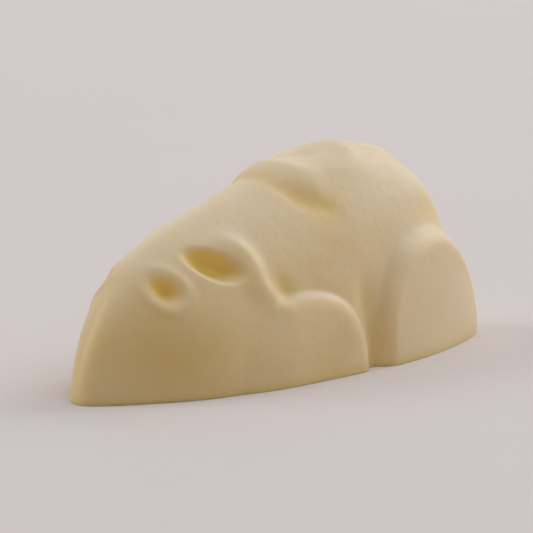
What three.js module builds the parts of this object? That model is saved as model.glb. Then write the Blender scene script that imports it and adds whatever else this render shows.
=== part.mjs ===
// A small moulded mouse of white chocolate, in one solid piece.
// Millimetres. The nose points to -X, the rump to +X, and the flat base lies on z = 0.
// The body is a loft of round-topped sections from nose to rump. Every point of it is then
// moved along the normal of the loft by the relief: haunches, paws, ears, eyes and tail.
import * as THREE from 'three';

// Length of the finished piece.
const LENGTH = 38.0;

// Fineness of the surface: rings along the piece, closer together on the head, where the
// small features are, and sides round its back.
const HEAD_RINGS = 50;
const BODY_RINGS = 46;
const RINGS = HEAD_RINGS + BODY_RINGS;
const HEAD_END_X = -5;
const SIDES = 52;

// Loft: for each station along x the half width, the height and the power of the section,
// which is 2 for half an ellipse and more for a squarer one.
const STATION_X = [-19, -18.3, -16, -13, -9, -3, 3, 8, 12.8, 16.2, 18.1, 18.6];
const STATION_HALF_WIDTH = [0, 1.3, 3.05, 4.85, 5.95, 6.4, 6.6, 6.2, 5.35, 4.1, 2.25, 0];
const STATION_HEIGHT = [0, 3.1, 6.5, 8.75, 10.15, 11.55, 12.75, 13.0, 10.95, 5.8, 1.45, 0];
const STATION_POWER = [1.9, 1.9, 1.83, 1.8, 1.87, 2.03, 2.2, 2.45, 2.7, 2.55, 2.2, 2.1];
const NOSE_X = STATION_X[0];
const RUMP_X = STATION_X[STATION_X.length - 1];

// Features of the flanks fade in over these distances from the midline.
const FLANK_Y = [0.9, 2.1];

// Arches stand on the base line round x, and turn from the front's power to the rear's
// over the blend to either side of it.
const ARCH_BLEND = 4;

// Haunch: a raised half disc with a round lip and a hollow above it. To the rear, over the
// turn, the disc gets lower and the hollow deeper.
const HAUNCH = { x: 9.9, front: 6.9, rear: 8.6, top: 8.05, frontPower: 2.4, rearPower: 1.65 };
const HAUNCH_TURN = [7, 15];
const HAUNCH_LIFT = [0.75, 0.38];
const HAUNCH_SLOPE = 2.3;
const HAUNCH_LIP = { inset: 1.1, width: 0.6, lift: 0.1 };
const HAUNCH_HOLLOW = [0.08, 0.36];
const HOLLOW_OFFSET = 0.8;
const HOLLOW_WIDTH = 1.3;
const HOLLOW_EDGE = [0.6, -0.2];

// Front paw: a lower arch that fades into the cheek, sooner at its top than on the base line,
// and a small hollow in the corner between its back and the cheek.
const PAW = { x: -3.6, front: 6.4, rear: 6.0, top: 5.8, frontPower: 2.2, rearPower: 2.3 };
const PAW_FADE = { footStart: -12, topStart: -8, end: -4.6 };
const PAW_LIFT = 0.58;
const PAW_SLOPE = 2.0;
const PAW_CORNER = { x: -4.9, z: 5.95, radius: 0.75, depth: 0.18 };

// Gap between paw and haunch, which leans forward towards its top: no depth at the upper
// height, full depth at the lower one, and less again at the very foot.
const GAP = { footX: 3.05, topX: 2.4, width: 0.9, depth: 0.34, foot: 0.5 };
const GAP_LEAN = [1.5, 5.0];
const GAP_HEIGHT = [6.6, 4.2];

// Cheek: an edge that runs over the ear and down to the paw, soft towards the nose and
// steeper towards the body.
const CHEEK_CORNERS = [[-12, 9], [-10.6, 9.8], [-8.2, 9.8], [-6.8, 8.2], [-6.9, 6.4], [-6, 4.8]];
const CHEEK_LIFT = 0.33;
const CHEEK_INNER_WIDTH = 1.05;
const CHEEK_OUTER_WIDTH = 0.8;
const CHEEK_START = [-12.4, -10.2];
const CHEEK_FOOT = [4.2, 6.4];
const CHEEK_Y = [1.6, 3.4];

// Ear: a sloping hollow below that edge.
const EAR = { x: -9.5, z: 7.95, halfLength: 1.8, halfWidth: 0.9, tilt: -22 };
const EAR_EDGE = 1.25;
const EAR_DEPTH = 0.85;
const EAR_Y = [1.1, 2.4];

// Eye: a small round pit in a low ring.
const EYE = { x: -13.4, z: 6.8, pitRadius: 0.6, ringRadius: 1.25, ringWidth: 0.42 };
const EYE_DEPTH = 0.58;
const EYE_RING_LIFT = 0.12;

// Tail: a ridge up the middle of the rump, higher there than on the back, with a hollow on
// either side. It ends in a flat curl on the back: a low squarish ring round a hollow, a
// little longer than wide, whose radius is half its width.
const TAIL = { halfWidth: 1.2, slope: 1.1, backLift: 0.26, rumpLift: 0.48 };
const TAIL_START = [5.2, 7.2];
const TAIL_RISE = [8, 14];
const TAIL_SIDE = { y: 1.8, width: 0.7, depth: 0.2 };
const TAIL_SIDE_FOOT = [0, 2];
const CURL = { x: 3.8, radius: 2.35, stretch: 1.17, power: 3.4, width: 0.6, lift: 0.16 };
const CURL_HOLLOW = { depth: 0.26, width: 1 };
const BACK_Z = [8.5, 9.5];

// The curl stands on a low step, which falls away from the start to the end, both measured
// from the curl. At the front it is higher and reaches further, and a shallow groove lies at
// its foot. It turns from the rear's form to the front's over the turn.
const STEP_REAR = { lift: 0.2, start: -0.2, end: 2.2 };
const STEP_FRONT = { lift: 0.32, start: 0.6, end: 1.9 };
const STEP_TURN = [2.8, 0.9];
const GROOVE = { offset: 1.75, width: 0.5, midDepth: 0.04, sideDepth: 0.09 };
const GROOVE_SIDE_Y = [0.8, 2.3];

const clamp01 = (t) => Math.min(Math.max(t, 0), 1);

function smooth(t) {
  const c = clamp01(t);
  return c * c * (3 - 2 * c);
}

// Soft step from 0 at the first value of the range to 1 at the second, which may be lower.
const fade = (value, [start, end]) => smooth((value - start) / (end - start));

const blend = (first, second, share) => first + (second - first) * share;

// Rise from 0 to 1 with a short soft foot and a long round shoulder.
function swell(t) {
  const c = clamp01(t);
  return (1 - (1 - c) ** 3) * smooth(4 * c);
}

const bell = (distance, width) => Math.exp(-((distance / width) ** 2));

// Distance inside an arch, and below 0 outside it.
function archDepth(x, z, arch) {
  const span = x < arch.x ? arch.front : arch.rear;
  const rearward = fade(x, [arch.x - ARCH_BLEND, arch.x + ARCH_BLEND]);
  const power = blend(arch.frontPower, arch.rearPower, rearward);
  const ratio = (Math.abs(x - arch.x) / span) ** power + (Math.max(z, 0) / arch.top) ** power;
  return (1 - ratio ** (1 / power)) * arch.top;
}

// Cuts the corners of a path again and again, so that it comes out as a smooth curve.
function roundedPath(corners, times) {
  let path = corners;
  for (let n = 0; n < times; n += 1) {
    const next = [path[0]];
    for (let i = 0; i + 1 < path.length; i += 1) {
      const [x0, z0] = path[i];
      const [x1, z1] = path[i + 1];
      next.push([0.75 * x0 + 0.25 * x1, 0.75 * z0 + 0.25 * z1]);
      next.push([0.25 * x0 + 0.75 * x1, 0.25 * z0 + 0.75 * z1]);
    }
    next.push(path[path.length - 1]);
    path = next;
  }
  return path;
}

const CHEEK_PATH = roundedPath(CHEEK_CORNERS, 3);

// Distance from a path: above 0 on the left of its course, below 0 on the right.
function pathDistance(x, z, path) {
  let nearest = Infinity;
  for (let i = 0; i + 1 < path.length; i += 1) {
    const [x0, z0] = path[i];
    const dx = path[i + 1][0] - x0;
    const dz = path[i + 1][1] - z0;
    const t = clamp01(((x - x0) * dx + (z - z0) * dz) / (dx * dx + dz * dz));
    const distance = Math.hypot(x - x0 - t * dx, z - z0 - t * dz);
    const side = dx * (z - z0) - dz * (x - x0) < 0 ? -1 : 1;
    if (distance < Math.abs(nearest)) nearest = side * distance;
  }
  return nearest;
}

// In all of these y is the distance from the midline.
function haunchRelief(x, y, z) {
  const inside = archDepth(x, z, HAUNCH);
  const rearward = fade(x, HAUNCH_TURN);
  const lip = HAUNCH_LIP.lift * bell(inside - HAUNCH_LIP.inset, HAUNCH_LIP.width);
  const disc = blend(...HAUNCH_LIFT, rearward) * swell(inside / HAUNCH_SLOPE) + lip;
  const hollow = blend(...HAUNCH_HOLLOW, rearward) * bell(inside + HOLLOW_OFFSET, HOLLOW_WIDTH);
  return (disc - hollow * fade(inside, HOLLOW_EDGE)) * fade(y, FLANK_Y);
}

function pawRelief(x, y, z) {
  const start = blend(PAW_FADE.footStart, PAW_FADE.topStart, smooth(z / PAW.top));
  const paw = PAW_LIFT * swell(archDepth(x, z, PAW) / PAW_SLOPE) * fade(x, [start, PAW_FADE.end]);
  const reach = Math.hypot(x - PAW_CORNER.x, z - PAW_CORNER.z);
  return paw - PAW_CORNER.depth * bell(reach, PAW_CORNER.radius) * fade(y, FLANK_Y);
}

function gapRelief(x, y, z) {
  const middle = blend(GAP.footX, GAP.topX, fade(z, GAP_LEAN));
  const upward = blend(GAP.foot, 1, smooth(z)) * fade(z, GAP_HEIGHT);
  return -GAP.depth * bell(x - middle, GAP.width) * upward * fade(y, FLANK_Y);
}

function cheekRelief(x, y, z) {
  const distance = pathDistance(x, z, CHEEK_PATH);
  const width = distance > 0 ? CHEEK_OUTER_WIDTH : CHEEK_INNER_WIDTH;
  const ends = fade(x, CHEEK_START) * fade(z, CHEEK_FOOT);
  return CHEEK_LIFT * bell(distance, width) * ends * fade(y, CHEEK_Y);
}

function earRelief(x, y, z) {
  const turn = THREE.MathUtils.degToRad(EAR.tilt);
  const along = (x - EAR.x) * Math.cos(turn) + (z - EAR.z) * Math.sin(turn);
  const across = (z - EAR.z) * Math.cos(turn) - (x - EAR.x) * Math.sin(turn);
  const reach = Math.hypot(along / EAR.halfLength, across / EAR.halfWidth);
  return -EAR_DEPTH * smooth(EAR_EDGE - reach) * fade(y, EAR_Y);
}

function eyeRelief(x, z) {
  const reach = Math.hypot(x - EYE.x, z - EYE.z);
  const ring = EYE_RING_LIFT * bell(reach - EYE.ringRadius, EYE.ringWidth);
  return ring - EYE_DEPTH * bell(reach, EYE.pitRadius);
}

// Distance outside the squarish ring of the curl, and below 0 inside it.
function curlDistance(x, y) {
  const ahead = Math.abs((x - CURL.x) / CURL.stretch) ** CURL.power;
  return (ahead + y ** CURL.power) ** (1 / CURL.power) - CURL.radius;
}

function tailRelief(x, y, z) {
  const strip = swell((TAIL.halfWidth - y) / TAIL.slope) * fade(x, TAIL_START);
  const ridge = blend(TAIL.backLift, TAIL.rumpLift, fade(x, TAIL_RISE)) * strip;
  const curl = CURL.lift * bell(curlDistance(x, y), CURL.width) * fade(z, BACK_Z);
  const beside = TAIL_SIDE.depth * bell(y - TAIL_SIDE.y, TAIL_SIDE.width);
  return Math.max(ridge, curl) - beside * fade(x, TAIL_RISE) * fade(z, TAIL_SIDE_FOOT);
}

function stepRelief(x, y, z) {
  const off = curlDistance(x, y);
  const front = fade(x, STEP_TURN);
  const start = blend(STEP_REAR.start, STEP_FRONT.start, front);
  const end = blend(STEP_REAR.end, STEP_FRONT.end, front);
  const step = blend(STEP_REAR.lift, STEP_FRONT.lift, front) * fade(off, [end, start]);
  const hollow = CURL_HOLLOW.depth * bell(off + CURL.radius, CURL_HOLLOW.width);
  const depth = blend(GROOVE.midDepth, GROOVE.sideDepth, fade(y, GROOVE_SIDE_Y));
  const groove = depth * bell(off - GROOVE.offset, GROOVE.width) * front;
  return (step - hollow - groove) * fade(z, BACK_Z);
}

function relief(x, side, z) {
  const y = Math.abs(side);
  const legs = haunchRelief(x, y, z) + pawRelief(x, y, z) + gapRelief(x, y, z);
  const head = cheekRelief(x, y, z) + earRelief(x, y, z) + eyeRelief(x, z);
  return legs + head + tailRelief(x, y, z) + stepRelief(x, y, z);
}

// The stations are spaced by the angle of a half circle from nose to rump, which makes
// both ends round.
const MIDDLE_X = (NOSE_X + RUMP_X) / 2;
const HALF_LOFT = (RUMP_X - NOSE_X) / 2;
const angleAt = (x) => Math.acos((MIDDLE_X - x) / HALF_LOFT);
const STATION_ANGLE = STATION_X.map(angleAt);

// Second derivatives, at the stations, of the smoothest cubic curve through the values.
function splineBends(values) {
  const last = values.length - 1;
  const bends = values.map(() => 0);
  const carried = values.map(() => 0);
  for (let i = 1; i < last; i += 1) {
    const before = STATION_ANGLE[i] - STATION_ANGLE[i - 1];
    const after = STATION_ANGLE[i + 1] - STATION_ANGLE[i];
    const share = before / (before + after);
    const divisor = share * bends[i - 1] + 2;
    const turn = (values[i + 1] - values[i]) / after - (values[i] - values[i - 1]) / before;
    bends[i] = (share - 1) / divisor;
    carried[i] = ((6 * turn) / (before + after) - share * carried[i - 1]) / divisor;
  }
  for (let i = last - 1; i > 0; i -= 1) bends[i] = bends[i] * bends[i + 1] + carried[i];
  return bends;
}

const spline = (values) => ({ values, bends: splineBends(values) });
const HALF_WIDTH_CURVE = spline(STATION_HALF_WIDTH);
const HEIGHT_CURVE = spline(STATION_HEIGHT);
const POWER_CURVE = spline(STATION_POWER);

function stationBefore(angle) {
  let k = 0;
  while (k < STATION_ANGLE.length - 2 && angle >= STATION_ANGLE[k + 1]) k += 1;
  return k;
}

function curveAt(angle, { values, bends }) {
  const k = stationBefore(angle);
  const step = STATION_ANGLE[k + 1] - STATION_ANGLE[k];
  const b = (angle - STATION_ANGLE[k]) / step;
  const a = 1 - b;
  const bend = (a ** 3 - a) * bends[k] + (b ** 3 - b) * bends[k + 1];
  return a * values[k] + b * values[k + 1] + (bend * step * step) / 6;
}

// Point of the plain loft: angle runs 0 to pi from nose to rump, turn -90 to 90 degrees
// from the left base edge over the back to the right one.
function loftPoint(angle, turn) {
  const x = MIDDLE_X - HALF_LOFT * Math.cos(angle);
  const power = 2 / curveAt(angle, POWER_CURVE);
  const sine = Math.sin(turn);
  const cosine = Math.max(Math.cos(turn), 0);
  const y = curveAt(angle, HALF_WIDTH_CURVE) * Math.sign(sine) * Math.abs(sine) ** power;
  const z = curveAt(angle, HEIGHT_CURVE) * cosine ** power;
  return new THREE.Vector3(x, y, z);
}

function loftNormal(angle, turn) {
  const small = 1e-3;
  const quarter = Math.PI / 2;
  const ahead = loftPoint(Math.min(angle + small, Math.PI), turn);
  const behind = loftPoint(Math.max(angle - small, 0), turn);
  const right = loftPoint(angle, Math.min(turn + small, quarter));
  const left = loftPoint(angle, Math.max(turn - small, -quarter));
  const normal = ahead.sub(behind).cross(right.sub(left));
  return normal.lengthSq() > 0 ? normal.normalize() : normal;
}

const HEAD_END_ANGLE = angleAt(HEAD_END_X);

function ringAngle(ring) {
  if (ring <= HEAD_RINGS) return (HEAD_END_ANGLE * ring) / HEAD_RINGS;
  return HEAD_END_ANGLE + ((Math.PI - HEAD_END_ANGLE) * (ring - HEAD_RINGS)) / BODY_RINGS;
}

function surfacePoint(ring, side) {
  const angle = ringAngle(ring);
  const turn = Math.PI * (side / SIDES - 0.5);
  const point = loftPoint(angle, turn);
  point.addScaledVector(loftNormal(angle, turn), relief(point.x, point.y, point.z));
  const onBase = side === 0 || side === SIDES;
  point.z = onBase ? 0 : Math.max(point.z, 0);
  return point;
}

// Vertices: the nose tip, the rings from front to back, and the rump tip.
function vertices() {
  const points = [loftPoint(0, 0)];
  for (let ring = 1; ring < RINGS; ring += 1) {
    for (let side = 0; side <= SIDES; side += 1) points.push(surfacePoint(ring, side));
  }
  const tail = surfacePoint(RINGS, SIDES / 2);
  points.push(new THREE.Vector3(tail.x, 0, 0));
  return points;
}

// Two triangles for the cell between two rings, split along its shorter diagonal.
function cell(points, a, b, c, d) {
  const alongAd = points[a].distanceTo(points[d]) < points[b].distanceTo(points[c]);
  return alongAd ? [a, d, b, a, c, d] : [a, c, b, b, c, d];
}

// Fans at the two tips, the cells between the rings, and a flat base across.
function triangles(points) {
  const vertex = (ring, side) => 1 + (ring - 1) * (SIDES + 1) + side;
  const nose = 0;
  const rump = points.length - 1;
  const faces = [];
  for (let side = 0; side < SIDES; side += 1) {
    faces.push(nose, vertex(1, side), vertex(1, side + 1));
    faces.push(rump, vertex(RINGS - 1, side + 1), vertex(RINGS - 1, side));
  }
  for (let ring = 1; ring + 1 < RINGS; ring += 1) {
    for (let side = 0; side < SIDES; side += 1) {
      const [a, b] = [vertex(ring, side), vertex(ring, side + 1)];
      const [c, d] = [vertex(ring + 1, side), vertex(ring + 1, side + 1)];
      faces.push(...cell(points, a, b, c, d));
    }
    faces.push(vertex(ring, 0), vertex(ring, SIDES), vertex(ring + 1, 0));
    faces.push(vertex(ring, SIDES), vertex(ring + 1, SIDES), vertex(ring + 1, 0));
  }
  faces.push(nose, vertex(1, SIDES), vertex(1, 0));
  faces.push(rump, vertex(RINGS - 1, 0), vertex(RINGS - 1, SIDES));
  return faces;
}

// Centres the piece over the origin and brings its length to the stated one.
function mouseGeometry() {
  const points = vertices();
  const box = new THREE.Box3().setFromPoints(points);
  const stretch = LENGTH / (box.max.x - box.min.x);
  const middle = (box.max.x + box.min.x) / 2;
  points.forEach((point) => point.setX((point.x - middle) * stretch));
  const geometry = new THREE.BufferGeometry().setFromPoints(points);
  geometry.setIndex(triangles(points));
  geometry.computeVertexNormals();
  return geometry;
}

const candy = new THREE.MeshStandardMaterial({
  name: 'white_chocolate',
  color: 0xe6d5ab,
  roughness: 0.5,
  metalness: 0,
});

const mouse = new THREE.Mesh(mouseGeometry(), candy);
mouse.name = 'mouse';

const part = new THREE.Group();
part.name = 'white_mouse_candy';
part.add(mouse);

export default part;
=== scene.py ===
"""A small moulded mouse of white chocolate on a pale floor, under soft studio light.

Metres for every Blender object; the form is worked out in millimetres, as in the part's source.
The nose points to -X, the rump to +X, and the flat base lies on z = 0.
"""

import bpy
import numpy as np
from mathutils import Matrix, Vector, noise


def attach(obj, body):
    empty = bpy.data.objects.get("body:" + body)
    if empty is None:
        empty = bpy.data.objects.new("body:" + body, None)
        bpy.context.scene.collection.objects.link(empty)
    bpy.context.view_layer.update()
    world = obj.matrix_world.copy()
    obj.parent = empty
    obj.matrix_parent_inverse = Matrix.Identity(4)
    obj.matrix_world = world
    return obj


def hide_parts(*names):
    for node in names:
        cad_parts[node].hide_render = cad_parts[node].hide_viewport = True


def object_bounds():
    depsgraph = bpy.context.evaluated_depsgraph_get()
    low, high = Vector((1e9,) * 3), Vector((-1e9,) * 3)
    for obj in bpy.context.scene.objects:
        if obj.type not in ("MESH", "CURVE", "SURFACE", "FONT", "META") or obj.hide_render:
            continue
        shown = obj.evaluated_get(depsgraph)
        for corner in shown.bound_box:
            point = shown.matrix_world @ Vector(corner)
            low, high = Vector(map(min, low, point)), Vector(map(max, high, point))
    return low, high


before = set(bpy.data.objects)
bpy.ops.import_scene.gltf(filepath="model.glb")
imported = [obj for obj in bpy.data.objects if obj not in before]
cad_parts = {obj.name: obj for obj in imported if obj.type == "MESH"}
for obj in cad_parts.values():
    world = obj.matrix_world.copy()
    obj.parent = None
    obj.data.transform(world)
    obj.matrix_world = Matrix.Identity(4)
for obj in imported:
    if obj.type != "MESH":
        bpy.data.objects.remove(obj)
CAD_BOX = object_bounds()
MM = 0.001
QUARTER = np.pi / 2

# Fineness of the surface: rings along the piece, closer together up to the end of the head,
# sides round its back and rows across its base. Only edges sharper than the angle look sharp.
HEAD_RINGS = 210
BODY_RINGS = 230
SIDES = 212
BASE_ROWS = 10
HEAD_END_X = -5.0
SHARP_DEGREES = 50

# Loft: for each station along x the half width, the height and the power of the section.
STATION_X = np.array([-19, -18.3, -16, -13, -9, -3, 3, 8, 12.8, 16.2, 18.1, 18.6])
STATION_HALF_WIDTH = np.array([0, 1.3, 3.05, 4.85, 5.95, 6.4, 6.6, 6.2, 5.35, 4.1, 2.25, 0])
STATION_HEIGHT = np.array([0, 3.1, 6.5, 8.75, 10.15, 11.55, 12.75, 13.0, 10.95, 5.8, 1.45, 0])
STATION_POWER = np.array([1.9, 1.9, 1.83, 1.8, 1.87, 2.03, 2.2, 2.45, 2.7, 2.55, 2.2, 2.1])
MIDDLE_X = (STATION_X[0] + STATION_X[-1]) / 2
HALF_LOFT = (STATION_X[-1] - STATION_X[0]) / 2
STATION_ANGLE = np.arccos((MIDDLE_X - STATION_X) / HALF_LOFT)

# Features of the flanks fade in over these distances from the midline.
FLANK_Y = (0.9, 2.1)

# Arches stand on the base line round x, and turn from the front's power to the rear's
# over the blend to either side of it.
ARCH_BLEND = 4.0

# Haunch: a raised half disc with a round lip and a hollow above it. To the rear, over the
# turn, the disc gets lower and the hollow deeper.
HAUNCH = dict(x=9.9, front=6.9, rear=8.6, top=8.05, front_power=2.4, rear_power=1.65)
HAUNCH_TURN = (7.0, 15.0)
HAUNCH_LIFT = (0.75, 0.38)
HAUNCH_SLOPE = 2.3
HAUNCH_LIP = dict(inset=1.1, width=0.6, lift=0.1)
HAUNCH_HOLLOW = (0.08, 0.36)
HOLLOW_OFFSET = 0.8
HOLLOW_WIDTH = 1.3
HOLLOW_EDGE = (0.6, -0.2)

# Front paw: a lower arch that fades into the cheek, sooner at its top than on the base line,
# and a small hollow in the corner between its back and the cheek.
PAW = dict(x=-3.6, front=6.4, rear=6.0, top=5.8, front_power=2.2, rear_power=2.3)
PAW_FADE = dict(foot_start=-12.0, top_start=-8.0, end=-4.6)
PAW_LIFT = 0.58
PAW_SLOPE = 2.0
PAW_CORNER = dict(x=-4.9, z=5.95, radius=0.75, depth=0.18)

# Gap between paw and haunch, which leans forward towards its top: no depth at the upper
# height, full depth at the lower one, and less again at the very foot.
GAP = dict(foot_x=3.05, top_x=2.4, width=0.9, depth=0.34, foot=0.5)
GAP_LEAN = (1.5, 5.0)
GAP_HEIGHT = (6.6, 4.2)

# Cheek: an edge that runs over the ear and down to the paw, soft towards the nose and
# steeper towards the body.
CHEEK_CORNERS = [(-12, 9), (-10.6, 9.8), (-8.2, 9.8), (-6.8, 8.2), (-6.9, 6.4), (-6, 4.8)]
CHEEK_LIFT = 0.33
CHEEK_INNER_WIDTH = 1.05
CHEEK_OUTER_WIDTH = 0.8
CHEEK_START = (-12.4, -10.2)
CHEEK_FOOT = (4.2, 6.4)
CHEEK_Y = (1.6, 3.4)

# Ear: a sloping hollow below that edge.
EAR = dict(x=-9.5, z=7.95, half_length=1.8, half_width=0.9, tilt=-22)
EAR_EDGE = 1.25
EAR_DEPTH = 0.85
EAR_Y = (1.1, 2.4)

# Eye: a small round pit in a low ring.
EYE = dict(x=-13.4, z=6.8, pit_radius=0.6, ring_radius=1.25, ring_width=0.42)
EYE_DEPTH = 0.58
EYE_RING_LIFT = 0.12

# Tail: a ridge up the middle of the rump, higher there than on the back, with a hollow on
# either side. It ends in a flat curl on the back: a low squarish ring round a hollow, a
# little longer than wide, whose radius is half its width.
TAIL = dict(half_width=1.2, slope=1.1, back_lift=0.26, rump_lift=0.48)
TAIL_START = (5.2, 7.2)
TAIL_RISE = (8.0, 14.0)
TAIL_SIDE = dict(y=1.8, width=0.7, depth=0.2)
TAIL_SIDE_FOOT = (0.0, 2.0)
CURL = dict(x=3.8, radius=2.35, stretch=1.17, power=3.4, width=0.6, lift=0.16)
CURL_HOLLOW = dict(depth=0.26, width=1.0)
BACK_Z = (8.5, 9.5)

# The curl stands on a low step, which falls away from the start to the end, both measured
# from the curl. At the front it is higher and reaches further, and a shallow groove lies at
# its foot. It turns from the rear's form to the front's over the turn.
STEP_REAR = dict(lift=0.2, start=-0.2, end=2.2)
STEP_FRONT = dict(lift=0.32, start=0.6, end=1.9)
STEP_TURN = (2.8, 0.9)
GROOVE = dict(offset=1.75, width=0.5, mid_depth=0.04, side_depth=0.09)
GROOVE_SIDE_Y = (0.8, 2.3)

# Traces of casting: gentle waves, large and small, that die out near the base edge, and a few
# burst air bubbles, shallower than wide, away from both tips and from the base edge.
LARGE_WAVES = dict(height=0.03, length=4.2, seed=1)
SMALL_WAVES = dict(height=0.0105, length=1.3, seed=2)
WAVE_SHIFT = Vector((7.31, 3.17, 5.53))
WAVE_FOOT_Z = (0.0, 0.8)
PIT_COUNT = 9
PIT_SEED = 29
PIT_RADIUS = (0.08, 0.17)
PIT_DEPTH = 0.55
PIT_EDGE = 1.4
PIT_RING_MARGIN = 30
PIT_SIDE_MARGIN = 12

# The base sank in the middle as it cooled, less where it is narrower than this.
BASE_SINK = 0.12
BASE_SINK_HALF_WIDTH = 3.0

# Painted shade: the deeper golden hue painted into the ear and the eye runs out between
# these distances from the middle. The other recesses and the base edge have a share of it.
EAR_SHADE = (1.2, 0.6)
EYE_SHADE = (1.0, 0.4)
GROOVE_SHADE = 0.5
GROOVE_MID_SHADE = 0.25
GAP_SHADE = 0.3
HOLLOW_SHADE = 0.45
HOLLOW_SHADE_WIDTH = 0.9
CORNER_SHADE = 0.5
EDGE_SHADE = 0.25
EDGE_SHADE_Z = (0.8, 0.0)

# Painted shade: the lower cheeks and the base edge are painted darker and browner. Painted
# light: a paler tone is painted where the surface rises to face upwards, and over the rump, most of
# all on its top.
CHEEK_SHADE = dict(x=-14.3, z=2.9, radius=2.6, stretch=1.4)
EDGE_TAN_SHADE = 0.5
TOP_LIGHT_RISE = (0.35, 0.95)
TOP_LIGHT_X = (-1.0, 7.0)
TOP_LIGHT_Z = (8.5, 11.0)
TOP_LIGHT_SIDE = 0.5
TOP_LIGHT_CREST = 0.85


def smooth(t):
    t = np.clip(t, 0, 1)
    return t * t * (3 - 2 * t)


def fade(value, ends):
    """Soft step from 0 at the first end to 1 at the second, which may be lower."""
    start, end = ends
    return smooth((value - start) / (end - start))


def blend(first, second, share):
    return first + (second - first) * share


def swell(t):
    """Rise from 0 to 1 with a short soft foot and a long round shoulder."""
    t = np.clip(t, 0, 1)
    return (1 - (1 - t) ** 3) * smooth(4 * t)


def bell(distance, width):
    return np.exp(-((distance / width) ** 2))


def arch_depth(x, z, arch):
    """Distance inside an arch, and below 0 outside it."""
    span = np.where(x < arch["x"], arch["front"], arch["rear"])
    rearward = fade(x, (arch["x"] - ARCH_BLEND, arch["x"] + ARCH_BLEND))
    power = blend(arch["front_power"], arch["rear_power"], rearward)
    ratio = (np.abs(x - arch["x"]) / span) ** power + (np.maximum(z, 0) / arch["top"]) ** power
    return (1 - ratio ** (1 / power)) * arch["top"]


def rounded_path(corners, times):
    """Cuts the corners of a path again and again, so that it comes out as a smooth curve."""
    path = [np.array(corner, float) for corner in corners]
    for _ in range(times):
        cut = [path[0]]
        for a, b in zip(path[:-1], path[1:]):
            cut += [0.75 * a + 0.25 * b, 0.25 * a + 0.75 * b]
        path = cut + [path[-1]]
    return path


CHEEK_PATH = rounded_path(CHEEK_CORNERS, 3)


def path_distance(x, z, path):
    """Distance from a path: above 0 on the left of its course, below 0 on the right."""
    nearest = np.full_like(x, np.inf)
    for (x0, z0), (x1, z1) in zip(path[:-1], path[1:]):
        dx, dz = x1 - x0, z1 - z0
        t = np.clip(((x - x0) * dx + (z - z0) * dz) / (dx * dx + dz * dz), 0, 1)
        distance = np.hypot(x - x0 - t * dx, z - z0 - t * dz)
        side = np.where(dx * (z - z0) - dz * (x - x0) < 0, -1, 1)
        nearest = np.where(distance < np.abs(nearest), side * distance, nearest)
    return nearest


def haunch_relief(x, y, z):
    """In this and in all the others y is the distance from the midline."""
    inside = arch_depth(x, z, HAUNCH)
    rearward = fade(x, HAUNCH_TURN)
    lip = HAUNCH_LIP["lift"] * bell(inside - HAUNCH_LIP["inset"], HAUNCH_LIP["width"])
    disc = blend(*HAUNCH_LIFT, rearward) * swell(inside / HAUNCH_SLOPE) + lip
    hollow = blend(*HAUNCH_HOLLOW, rearward) * bell(inside + HOLLOW_OFFSET, HOLLOW_WIDTH)
    return (disc - hollow * fade(inside, HOLLOW_EDGE)) * fade(y, FLANK_Y)


def paw_corner(x, z):
    return bell(np.hypot(x - PAW_CORNER["x"], z - PAW_CORNER["z"]), PAW_CORNER["radius"])


def paw_relief(x, y, z):
    start = blend(PAW_FADE["foot_start"], PAW_FADE["top_start"], smooth(z / PAW["top"]))
    paw = PAW_LIFT * swell(arch_depth(x, z, PAW) / PAW_SLOPE) * fade(x, (start, PAW_FADE["end"]))
    return paw - PAW_CORNER["depth"] * paw_corner(x, z) * fade(y, FLANK_Y)


def gap_line(x, z):
    middle = blend(GAP["foot_x"], GAP["top_x"], fade(z, GAP_LEAN))
    return bell(x - middle, GAP["width"]) * fade(z, GAP_HEIGHT)


def gap_relief(x, y, z):
    return -GAP["depth"] * gap_line(x, z) * blend(GAP["foot"], 1, smooth(z)) * fade(y, FLANK_Y)


def cheek_relief(x, y, z):
    distance = path_distance(x, z, CHEEK_PATH)
    width = np.where(distance > 0, CHEEK_OUTER_WIDTH, CHEEK_INNER_WIDTH)
    ends = fade(x, CHEEK_START) * fade(z, CHEEK_FOOT)
    return CHEEK_LIFT * bell(distance, width) * ends * fade(y, CHEEK_Y)


def ear_reach(x, z):
    """Distance from the middle of the ear: 1 where its hollow ends."""
    turn = np.radians(EAR["tilt"])
    along = (x - EAR["x"]) * np.cos(turn) + (z - EAR["z"]) * np.sin(turn)
    across = (z - EAR["z"]) * np.cos(turn) - (x - EAR["x"]) * np.sin(turn)
    return np.hypot(along / EAR["half_length"], across / EAR["half_width"])


def ear_relief(x, y, z):
    return -EAR_DEPTH * smooth(EAR_EDGE - ear_reach(x, z)) * fade(y, EAR_Y)


def eye_reach(x, z):
    return np.hypot(x - EYE["x"], z - EYE["z"])


def eye_relief(x, z):
    ring = EYE_RING_LIFT * bell(eye_reach(x, z) - EYE["ring_radius"], EYE["ring_width"])
    return ring - EYE_DEPTH * bell(eye_reach(x, z), EYE["pit_radius"])


def curl_distance(x, y):
    """Distance outside the squarish ring of the curl, and below 0 inside it."""
    power = CURL["power"]
    ahead = np.abs((x - CURL["x"]) / CURL["stretch"]) ** power
    return (ahead + y**power) ** (1 / power) - CURL["radius"]


def tail_relief(x, y, z):
    strip = swell((TAIL["half_width"] - y) / TAIL["slope"]) * fade(x, TAIL_START)
    ridge = blend(TAIL["back_lift"], TAIL["rump_lift"], fade(x, TAIL_RISE)) * strip
    curl = CURL["lift"] * bell(curl_distance(x, y), CURL["width"]) * fade(z, BACK_Z)
    beside = TAIL_SIDE["depth"] * bell(y - TAIL_SIDE["y"], TAIL_SIDE["width"])
    return np.maximum(ridge, curl) - beside * fade(x, TAIL_RISE) * fade(z, TAIL_SIDE_FOOT)


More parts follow.
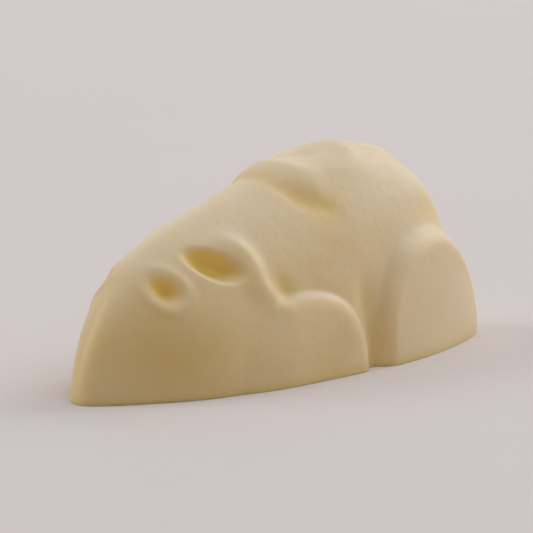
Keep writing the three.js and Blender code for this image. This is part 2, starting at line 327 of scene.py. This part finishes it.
def groove_line(x, y, z):
    line = bell(curl_distance(x, y) - GROOVE["offset"], GROOVE["width"])
    return line * fade(x, STEP_TURN) * fade(z, BACK_Z)


def step_relief(x, y, z):
    off = curl_distance(x, y)
    front = fade(x, STEP_TURN)
    start, end, lift = (blend(STEP_REAR[k], STEP_FRONT[k], front) for k in ("start", "end", "lift"))
    step = lift * fade(off, (end, start))
    hollow = CURL_HOLLOW["depth"] * bell(off + CURL["radius"], CURL_HOLLOW["width"])
    depth = blend(GROOVE["mid_depth"], GROOVE["side_depth"], fade(y, GROOVE_SIDE_Y))
    return (step - hollow) * fade(z, BACK_Z) - depth * groove_line(x, y, z)


def relief(p):
    x, y, z = p[..., 0], np.abs(p[..., 1]), p[..., 2]
    legs = haunch_relief(x, y, z) + paw_relief(x, y, z) + gap_relief(x, y, z)
    head = cheek_relief(x, y, z) + ear_relief(x, y, z) + eye_relief(x, z)
    return legs + head + tail_relief(x, y, z) + step_relief(x, y, z)


def station_curve(angle, values):
    """The smoothest cubic curve through the values at the stations."""
    steps = np.diff(STATION_ANGLE)
    rises = np.diff(values) / steps
    matrix, right = np.eye(len(values)), np.zeros(len(values))
    for i in range(1, len(steps)):
        matrix[i, i - 1 : i + 2] = steps[i - 1], 2 * (steps[i - 1] + steps[i]), steps[i]
        right[i] = 6 * (rises[i] - rises[i - 1])
    bends = np.linalg.solve(matrix, right)
    k = np.clip(np.searchsorted(STATION_ANGLE, angle, side="right") - 1, 0, len(steps) - 1)
    b = (angle - STATION_ANGLE[k]) / steps[k]
    a = 1 - b
    bend = (a**3 - a) * bends[k] + (b**3 - b) * bends[k + 1]
    return a * values[k] + b * values[k + 1] + bend * steps[k] ** 2 / 6


def loft(angle, turn):
    """angle runs 0 to pi from nose to rump, turn -90 to 90 degrees over the back."""
    x = MIDDLE_X - HALF_LOFT * np.cos(angle)
    power = 2 / station_curve(angle, STATION_POWER)
    sine, cosine = np.sin(turn), np.maximum(np.cos(turn), 0)
    y = station_curve(angle, STATION_HALF_WIDTH) * np.sign(sine) * np.abs(sine) ** power
    z = station_curve(angle, STATION_HEIGHT) * cosine**power
    return np.stack([x, y, z], axis=-1)


def loft_normal(angle, turn):
    small = 1e-3
    along = loft(np.minimum(angle + small, np.pi), turn) - loft(np.maximum(angle - small, 0), turn)
    above, below = np.minimum(turn + small, QUARTER), np.maximum(turn - small, -QUARTER)
    across = loft(angle, above) - loft(angle, below)
    normal = np.cross(along, across)
    return normal / np.maximum(np.linalg.norm(normal, axis=-1, keepdims=True), 1e-12)


def ring_angles():
    head_end = np.arccos((MIDDLE_X - HEAD_END_X) / HALF_LOFT)
    head = np.linspace(0, head_end, HEAD_RINGS, endpoint=False)
    return np.concatenate([head, np.linspace(head_end, np.pi, BODY_RINGS + 1)])


def mouse_surface():
    """Grid of points over the back, from the nose to the rump and from base edge to base edge."""
    turns = np.linspace(-QUARTER, QUARTER, SIDES + 1)
    angle, turn = np.meshgrid(ring_angles(), turns, indexing="ij")
    points = loft(angle, turn)
    points = points + loft_normal(angle, turn) * relief(points)[..., None]
    points[..., 2] = np.maximum(points[..., 2], 0)
    points[:, [0, -1], 2] = 0
    points[0] = loft(angle, turn)[0]
    points[-1, :, 1:] = 0
    return points


def fit_to_part(points):
    """Brings the fine surface to the box of the coarser solid, about which it lies."""
    low, high = (np.array(corner) / MM for corner in CAD_BOX)
    least, most = points.reshape(-1, 3).min(axis=0), points.reshape(-1, 3).max(axis=0)
    return low + (points - least) * (high - low) / (most - least)


def waves(points, kind):
    """Smooth rise and fall of the surface, up to about the kind's height either way."""
    shift = kind["seed"] * WAVE_SHIFT
    values = [noise.noise(Vector(p) / kind["length"] + shift) for p in points.reshape(-1, 3)]
    return kind["height"] * np.array(values).reshape(points.shape[:-1])


def surface_normals(points):
    normal = np.cross(np.gradient(points, axis=0), np.gradient(points, axis=1))
    return normal / np.maximum(np.linalg.norm(normal, axis=-1, keepdims=True), 1e-12)


def pits(points):
    """Small round pits where air bubbles burst on the wall of the mould."""
    chance = np.random.default_rng(PIT_SEED)
    depth = np.zeros(points.shape[:-1])
    for _ in range(PIT_COUNT):
        ring = chance.integers(PIT_RING_MARGIN, len(points) - PIT_RING_MARGIN)
        centre = points[ring, chance.integers(PIT_SIDE_MARGIN, SIDES - PIT_SIDE_MARGIN)]
        radius = chance.uniform(*PIT_RADIUS)
        reach = np.linalg.norm(points - centre, axis=-1) / radius
        depth = np.maximum(depth, radius * PIT_DEPTH * smooth(PIT_EDGE - reach))
    return depth


def painted_recess_shade_share(points):
    """0 on open surface and 1 in the dimples and grooves: painted shade, a deeper golden colour
    where shade gathers.
    """
    x, y, z = points[..., 0], np.abs(points[..., 1]), points[..., 2]
    hollow = bell(arch_depth(x, z, HAUNCH) + HOLLOW_OFFSET, HOLLOW_SHADE_WIDTH)
    shares = [
        fade(ear_reach(x, z), EAR_SHADE) * fade(y, EAR_Y),
        fade(eye_reach(x, z), EYE_SHADE),
        blend(GROOVE_MID_SHADE, GROOVE_SHADE, fade(y, GROOVE_SIDE_Y)) * groove_line(x, y, z),
        GAP_SHADE * gap_line(x, z),
        HOLLOW_SHADE * hollow * fade(x, HAUNCH_TURN),
        CORNER_SHADE * paw_corner(x, z),
        EDGE_SHADE * fade(z, EDGE_SHADE_Z),
    ]
    return np.clip(np.maximum.reduce(shares), 0, 1)


def painted_tan_shade_share(points):
    """Painted shade: 1 where it is painted darkest and brownest, low on the cheeks."""
    ahead = (points[..., 0] - CHEEK_SHADE["x"]) / CHEEK_SHADE["stretch"]
    cheek = bell(np.hypot(ahead, points[..., 2] - CHEEK_SHADE["z"]), CHEEK_SHADE["radius"])
    return np.maximum(cheek, EDGE_TAN_SHADE * fade(points[..., 2], EDGE_SHADE_Z))


def painted_top_light_share(points):
    """Painted light: 1 where the surface is painted palest, facing upwards or high on the rump."""
    raised = fade(np.abs(surface_normals(points)[..., 2]), TOP_LIGHT_RISE)
    height = blend(TOP_LIGHT_SIDE, TOP_LIGHT_CREST, fade(points[..., 2], TOP_LIGHT_Z))
    return np.maximum(raised, height * fade(points[..., 0], TOP_LIGHT_X))


def detailed_surface():
    points = mouse_surface()
    # Painted shade in the recesses, painted light on the tops and painted shade low on the cheeks.
    shares = painted_recess_shade_share(points), painted_top_light_share(points), painted_tan_shade_share(points)
    casting = waves(points, LARGE_WAVES) + waves(points, SMALL_WAVES) - pits(points)
    casting *= fade(points[..., 2], WAVE_FOOT_Z)
    points = points + surface_normals(points) * casting[..., None]
    return fit_to_part(points), *shares


def base_row(left, right, rows):
    """Points across the base from right edge to left edge, slightly sunk as it cooled."""
    share = np.arange(1, rows) / rows
    across = right[None] + (left - right)[None] * share[:, None]
    narrow = min(1.0, abs(right[1]) / BASE_SINK_HALF_WIDTH)
    across[:, 2] = BASE_SINK * np.sqrt(np.sin(np.pi * share)) * narrow
    return across


def mouse_mesh():
    grid, *shares = detailed_surface()
    rings = len(grid)
    loop = grid.shape[1] + BASE_ROWS - 1
    points = [grid[0, 0]]
    for i in range(1, rings - 1):
        points.extend(grid[i])
        points.extend(base_row(grid[i, 0], grid[i, -1], BASE_ROWS))
    points.append(grid[-1, 0])

    faces = []
    rump = len(points) - 1
    for m in range(loop):
        n = (m + 1) % loop
        faces.append((0, 1 + m, 1 + n))
        faces.append((rump, rump - loop + n, rump - loop + m))
    for i in range(rings - 3):
        row = 1 + i * loop
        for m in range(loop):
            n = (m + 1) % loop
            faces.append((row + m, row + loop + m, row + loop + n, row + n))
    mesh = bpy.data.meshes.new("mouse_candy")
    mesh.from_pydata([tuple(p * MM) for p in points], [], faces)
    # These shares of painted shade and painted light are kept on the mesh for the material.
    for name, share in zip(("painted_recess_shade", "painted_top_light", "painted_tan_shade"), shares):
        padded = np.pad(share[1:-1], ((0, 0), (0, BASE_ROWS - 1))).ravel()
        values = np.concatenate([[0.0], padded, [0.0]])
        mesh.attributes.new(name, "FLOAT", "POINT").data.foreach_set("value", values)
    mesh.shade_smooth()
    mesh.set_sharp_from_angle(angle=np.radians(SHARP_DEGREES))
    return mesh


class Nodes:
    """Short helpers to build a shader's node tree."""

    def __init__(self, name):
        self.material = bpy.data.materials.new(name)
        self.material.use_nodes = True
        self.tree = self.material.node_tree
        self.shader = self.tree.nodes["Principled BSDF"]

    def add(self, kind, **settings):
        node = self.tree.nodes.new(kind)
        for name, value in settings.items():
            setattr(node, name, value)
        return node

    def link(self, source, target):
        self.tree.links.new(source, target)

    def place(self):
        return self.add("ShaderNodeTexCoord").outputs["Object"]

    def noise(self, size, detail=2.0, roughness=0.5):
        """Noise with features of about the given size in metres."""
        node = self.add("ShaderNodeTexNoise")
        node.inputs["Scale"].default_value = 1 / size
        node.inputs["Detail"].default_value = detail
        node.inputs["Roughness"].default_value = roughness
        self.link(self.place(), node.inputs["Vector"])
        return node.outputs["Fac"]

    def attribute(self, name):
        return self.add("ShaderNodeAttribute", attribute_name=name).outputs["Fac"]

    def spread(self, value, low, high, to_low=0.0, to_high=1.0):
        node = self.add("ShaderNodeMapRange")
        ends = {"From Min": low, "From Max": high, "To Min": to_low, "To Max": to_high}
        for name, number in ends.items():
            node.inputs[name].default_value = number
        self.link(value, node.inputs["Value"])
        return node.outputs["Result"]

    def mix(self, share, first, second):
        """Mixes two colours; each is an output or a linear colour."""
        node = self.add("ShaderNodeMix", data_type="RGBA")
        self.link(share, node.inputs["Factor"])
        for name, colour in (("A", first), ("B", second)):
            socket = [s for s in node.inputs if s.name == name and s.type == "RGBA"][0]
            if isinstance(colour, tuple):
                socket.default_value = (*colour, 1.0)
            else:
                self.link(colour, socket)
        return [s for s in node.outputs if s.type == "RGBA"][0]

    def bump(self, height, distance, under=None):
        node = self.add("ShaderNodeBump")
        node.inputs["Distance"].default_value = distance
        self.link(height, node.inputs["Height"])
        if under is not None:
            self.link(under, node.inputs["Normal"])
        return node.outputs["Normal"]


# Colours of the chocolate, linear, among them the pale of the painted light and the golden and
# brown of the painted shade, and the most that shows of three of them.
IVORY = (0.82, 0.65, 0.36)
CREAM = (0.84, 0.68, 0.41)
BUTTER = (0.79, 0.60, 0.30)
LIT_PALE = (0.84, 0.70, 0.50)
SHADE_TAN = (0.73, 0.51, 0.18)
SHADE_GOLDEN = (0.88, 0.61, 0.12)
LIT_PALE_MOST = 0.7
SHADE_TAN_MOST = 0.8
CREAM_MOST = 0.5

# Sizes of its patterns and heights of its grain, in metres.
MOTTLE_SIZE = 0.0045
FLECK_SIZE = 0.0014
SATIN_SIZE = 0.0022
GRAIN = dict(size=0.0009, height=0.00004)
FINE_GRAIN = dict(size=0.00016, height=0.000008)

# Its finish: roughness from its least to its most, shine, and light that goes about half a
# millimetre deep, red furthest.
SATIN = (0.42, 0.56)
SHINE = 0.7
SCATTER_RADIUS = (1.0, 0.85, 0.55)
SCATTER_SCALE = 0.00055
SHEEN = dict(weight=0.12, roughness=0.4)


def white_chocolate():
    """Satin, slightly translucent ivory with faint mottling, painted light on its tops, and painted
    shade: browner low on the cheeks and deeper golden in the recesses.
    """
    n = Nodes("white_chocolate")
    mottle = n.spread(n.noise(MOTTLE_SIZE, 3.0), 0.35, 0.65)
    flecks = n.spread(n.noise(FLECK_SIZE, 4.0, 0.6), 0.5, 0.75, 0.0, CREAM_MOST)
    # Painted light paler on the tops, painted shade browner low on the cheeks and golden in the
    # recesses.
    painted_top_light = n.spread(n.attribute("painted_top_light"), 0.0, 1.0, 0.0, LIT_PALE_MOST)
    painted_tan_shade = n.spread(n.attribute("painted_tan_shade"), 0.0, 1.0, 0.0, SHADE_TAN_MOST)
    colour = n.mix(flecks, n.mix(mottle, BUTTER, IVORY), CREAM)
    colour = n.mix(painted_tan_shade, n.mix(painted_top_light, colour, LIT_PALE), SHADE_TAN)
    colour = n.mix(n.attribute("painted_recess_shade"), colour, SHADE_GOLDEN)
    satin = n.spread(n.noise(SATIN_SIZE, 4.0, 0.6), 0.3, 0.7, *SATIN)
    grain = n.bump(n.noise(GRAIN["size"], 5.0, 0.6), GRAIN["height"])
    fine_grain = n.bump(n.noise(FINE_GRAIN["size"], 2.0), FINE_GRAIN["height"], grain)
    n.link(colour, n.shader.inputs["Base Color"])
    n.link(satin, n.shader.inputs["Roughness"])
    n.link(fine_grain, n.shader.inputs["Normal"])
    n.shader.inputs["Subsurface Weight"].default_value = 1.0
    n.shader.inputs["Subsurface Radius"].default_value = SCATTER_RADIUS
    n.shader.inputs["Subsurface Scale"].default_value = SCATTER_SCALE
    n.shader.inputs["Specular IOR Level"].default_value = SHINE
    n.shader.inputs["Sheen Weight"].default_value = SHEEN["weight"]
    n.shader.inputs["Sheen Roughness"].default_value = SHEEN["roughness"]
    return n.material


# The floor runs far beyond the picture.
FLOOR_HALF = 2.0
FLOOR_PATCH_SIZE = 0.03
FLOOR_COLOURS = (0.755, 0.7, 0.695), (0.775, 0.72, 0.715)
FLOOR_ROUGHNESS = 0.8
FLOOR_SHINE = 0.2


def floor_paint():
    n = Nodes("pale_floor")
    n.link(n.mix(n.noise(FLOOR_PATCH_SIZE), *FLOOR_COLOURS), n.shader.inputs["Base Color"])
    n.shader.inputs["Roughness"].default_value = FLOOR_ROUGHNESS
    n.shader.inputs["Specular IOR Level"].default_value = FLOOR_SHINE
    return n.material


def add_object(name, data):
    item = bpy.data.objects.new(name, data)
    bpy.context.scene.collection.objects.link(item)
    return item


def make_mouse():
    mouse = add_object("mouse_candy", mouse_mesh())
    mouse.data.materials.append(white_chocolate())
    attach(mouse, "root")
    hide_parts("mouse")


def make_floor():
    mesh = bpy.data.meshes.new("floor")
    signs = [(-1, -1), (1, -1), (1, 1), (-1, 1)]
    corners = [(x * FLOOR_HALF, y * FLOOR_HALF, 0) for x, y in signs]
    mesh.from_pydata(corners, [], [(0, 1, 2, 3)])
    mesh.materials.append(floor_paint())
    add_object("floor", mesh)


# View of the photograph: direction round the piece, distance and a long lens.
VIEW_AZIMUTH = -52.2
VIEW_ELEVATION = 9.9
VIEW_DISTANCE = 0.753
VIEW_LENS = 800.0
VIEW_SENSOR = 36.0
VIEW_NEAREST = 0.01
VIEW_TARGET = Vector((0.0, 0.0, 0.0062))

# Lights round the piece: turn from the camera's azimuth and elevation in degrees, distance
# and size in metres, power in watts.
LIGHTS = {
    "overhead": dict(turn=0, elevation=88, distance=0.9, size=0.8, power=1.8),
    "backlight": dict(turn=180, elevation=12, distance=1.0, size=1.2, power=3.0),
    "back_right_softbox": dict(turn=130, elevation=30, distance=0.9, size=0.7, power=3.6),
    "left_softbox": dict(turn=-90, elevation=28, distance=0.9, size=0.6, power=2.7),
    "front_right_softbox": dict(turn=45, elevation=45, distance=0.9, size=0.7, power=1.25),
}
LIGHT_COLOUR = (1.0, 0.985, 0.97)
SKY_COLOUR = (0.98, 0.985, 1.0, 1.0)
SKY_STRENGTH = 0.16


def direction(azimuth, elevation):
    a, e = np.radians(azimuth), np.radians(elevation)
    return Vector((np.sin(a) * np.cos(e), -np.cos(a) * np.cos(e), np.sin(e)))


def make_camera():
    camera = add_object("camera", bpy.data.cameras.new("camera"))
    camera.location = VIEW_TARGET + VIEW_DISTANCE * direction(VIEW_AZIMUTH, VIEW_ELEVATION)
    camera.rotation_euler = (VIEW_TARGET - camera.location).to_track_quat("-Z", "Y").to_euler()
    camera.data.lens = VIEW_LENS
    camera.data.sensor_width = VIEW_SENSOR
    camera.data.clip_start = VIEW_NEAREST
    bpy.context.scene.camera = camera


def make_light(name, turn, elevation, distance, size, power):
    lamp = bpy.data.lights.new(name, "AREA")
    lamp.shape = "SQUARE"
    lamp.size = size
    lamp.energy = power
    lamp.color = LIGHT_COLOUR
    light = add_object(name, lamp)
    light.visible_camera = False
    light.location = distance * direction(VIEW_AZIMUTH + turn, elevation)
    light.rotation_euler = (-light.location).to_track_quat("-Z", "Y").to_euler()


def make_lights():
    for name, values in LIGHTS.items():
        make_light(name, **values)
    world = bpy.data.worlds.new("studio")
    world.use_nodes = True
    background = world.node_tree.nodes["Background"]
    background.inputs["Color"].default_value = SKY_COLOUR
    background.inputs["Strength"].default_value = SKY_STRENGTH
    bpy.context.scene.world = world


make_mouse()
make_floor()
make_camera()
make_lights()
bpy.context.scene.view_settings.view_transform = "Standard"
